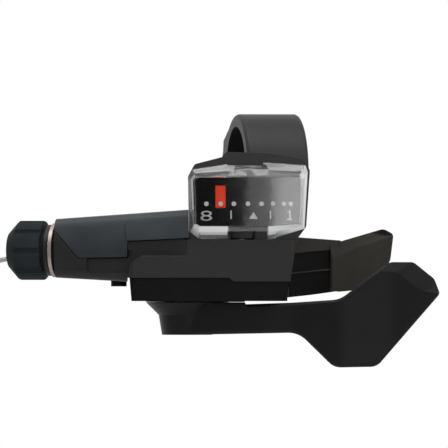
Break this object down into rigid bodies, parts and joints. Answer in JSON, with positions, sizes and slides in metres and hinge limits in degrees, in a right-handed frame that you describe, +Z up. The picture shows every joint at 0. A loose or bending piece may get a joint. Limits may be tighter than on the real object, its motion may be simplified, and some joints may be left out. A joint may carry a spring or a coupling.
{
  "type": "trigger gear shifter",
  "caption": "Handlebar trigger gear shifter with a bar clamp, windowed gear dial, two thumb levers, a barrel adjuster and a coiled inner cable.",
  "frame": {"origin": "centre of the handlebar clamp's bore", "axes": "+X along the handlebar to the rider's right, +Y away from the rider, +Z up; the body is turned 12 degrees about Z on the bar"},
  "size_m": [0.1288, 0.0598, 0.0682],
  "materials": {
    "clamp_housing_black": "fine moulded texture",
    "nose_black": "satin",
    "base_black": "satin",
    "clear_window": "polished clear",
    "dial_black": "matt",
    "flag_orange": "satin",
    "lever_black": "satin",
    "release_black": "satin",
    "knob_black": "satin",
    "collar_black": "satin",
    "spool_plastic": "satin",
    "bright_metal": "turned",
    "steel": "bright"
  },
  "bodies": {
    "housing": {"main_housing": "clamp_housing_black", "nose_cover": "nose_black", "base_cover": "base_black", "window_lens": "clear_window", "dial_panel": "dial_black", "clamp_bolt": "steel", "clamp_nut": "steel", "base_screws": "steel", "port_plug": "base_black", "spool_axle": "steel", "spool_spacer": "steel", "hold_pin": "steel", "detent_ring": "bright_metal", "spool_spring": "steel", "pull_spring": "steel", "hold_spring": "steel", "release_spring": "steel", "detent_spring": "steel", "cable_run": "steel", "cable_tail": "steel", "cable_coil": "steel", "coil_tie": "collar_black", "end_cap": "bright_metal"},
    "pull_lever": {"pull_lever": "lever_black", "lever_axle": "steel", "drive_arm": "steel", "pull_pawl_pin": "steel"},
    "pull_pawl": {"pull_pawl": "steel"},
    "release_lever": {"release_lever": "release_black"},
    "hold_pawl": {"hold_pawl": "steel"},
    "spool": {"cable_spool": "spool_plastic", "ratchet_ring": "steel", "pointer_arm": "dial_black", "pointer_flag": "flag_orange", "cable_head": "steel"},
    "adjuster_collar": {"detent_collar": "collar_black"},
    "adjuster_knob": {"adjuster_knob": "knob_black"}
  },
  "joints": [
    {"name": "pull_lever_swing", "type": "hinge", "parent": "housing", "child": "pull_lever", "pos_m": [-0.02169, -0.0097, -0.0314], "axis": [0, 0, 1], "range_deg": [0, 34], "stiffness_Nm_per_rad": 0.25, "springref_deg": -17.19, "deforming": ["pull_spring"]},
    {"name": "pull_pawl_swing", "type": "hinge", "parent": "pull_lever", "child": "pull_pawl", "pos_m": [-0.02791, -0.01661, -0.0262], "axis": [0, 0, 1], "range_deg": [-34, 0]},
    {"name": "release_lever_swing", "type": "hinge", "parent": "housing", "child": "release_lever", "pos_m": [-0.00868, -0.01247, -0.029], "axis": [0, 0, 1], "range_deg": [0, 16], "stiffness_Nm_per_rad": 0.15, "springref_deg": -17.19, "deforming": ["release_spring"]},
    {"name": "hold_pawl_lift", "type": "hinge", "parent": "housing", "child": "hold_pawl", "pos_m": [-0.01493, -0.00072, -0.0262], "axis": [0, 0, 1], "range_deg": [0, 10], "deforming": ["hold_spring"]},
    {"name": "spool_turn", "type": "hinge", "parent": "housing", "child": "spool", "pos_m": [-0.00868, -0.01247, -0.0189], "axis": [0, 0, 1], "range_deg": [-15.65, 93.91], "deforming": ["spool_spring", "cable_run"]},
    {"name": "adjuster_slide", "type": "slide", "parent": "housing", "child": "adjuster_collar", "axis": [-0.8988, 0.4384, 0], "range_m": [0, 0.003], "deforming": ["detent_spring"]},
    {"name": "adjuster_turn", "type": "hinge", "parent": "adjuster_collar", "child": "adjuster_knob", "pos_m": [-0.06273, 0.00299, -0.0189], "axis": [-0.8988, 0.4384, 0], "range_deg": [0, 1085]}
  ],
  "couplings": [
    {"joint": "pull_pawl_swing", "follows": "pull_lever_swing", "ratio": -1},
    {"joint": "hold_pawl_lift", "follows": "release_lever_swing", "ratio": 0.6},
    {"joint": "adjuster_turn", "follows": "adjuster_slide", "rad_per_m": 6283.2}
  ]
}
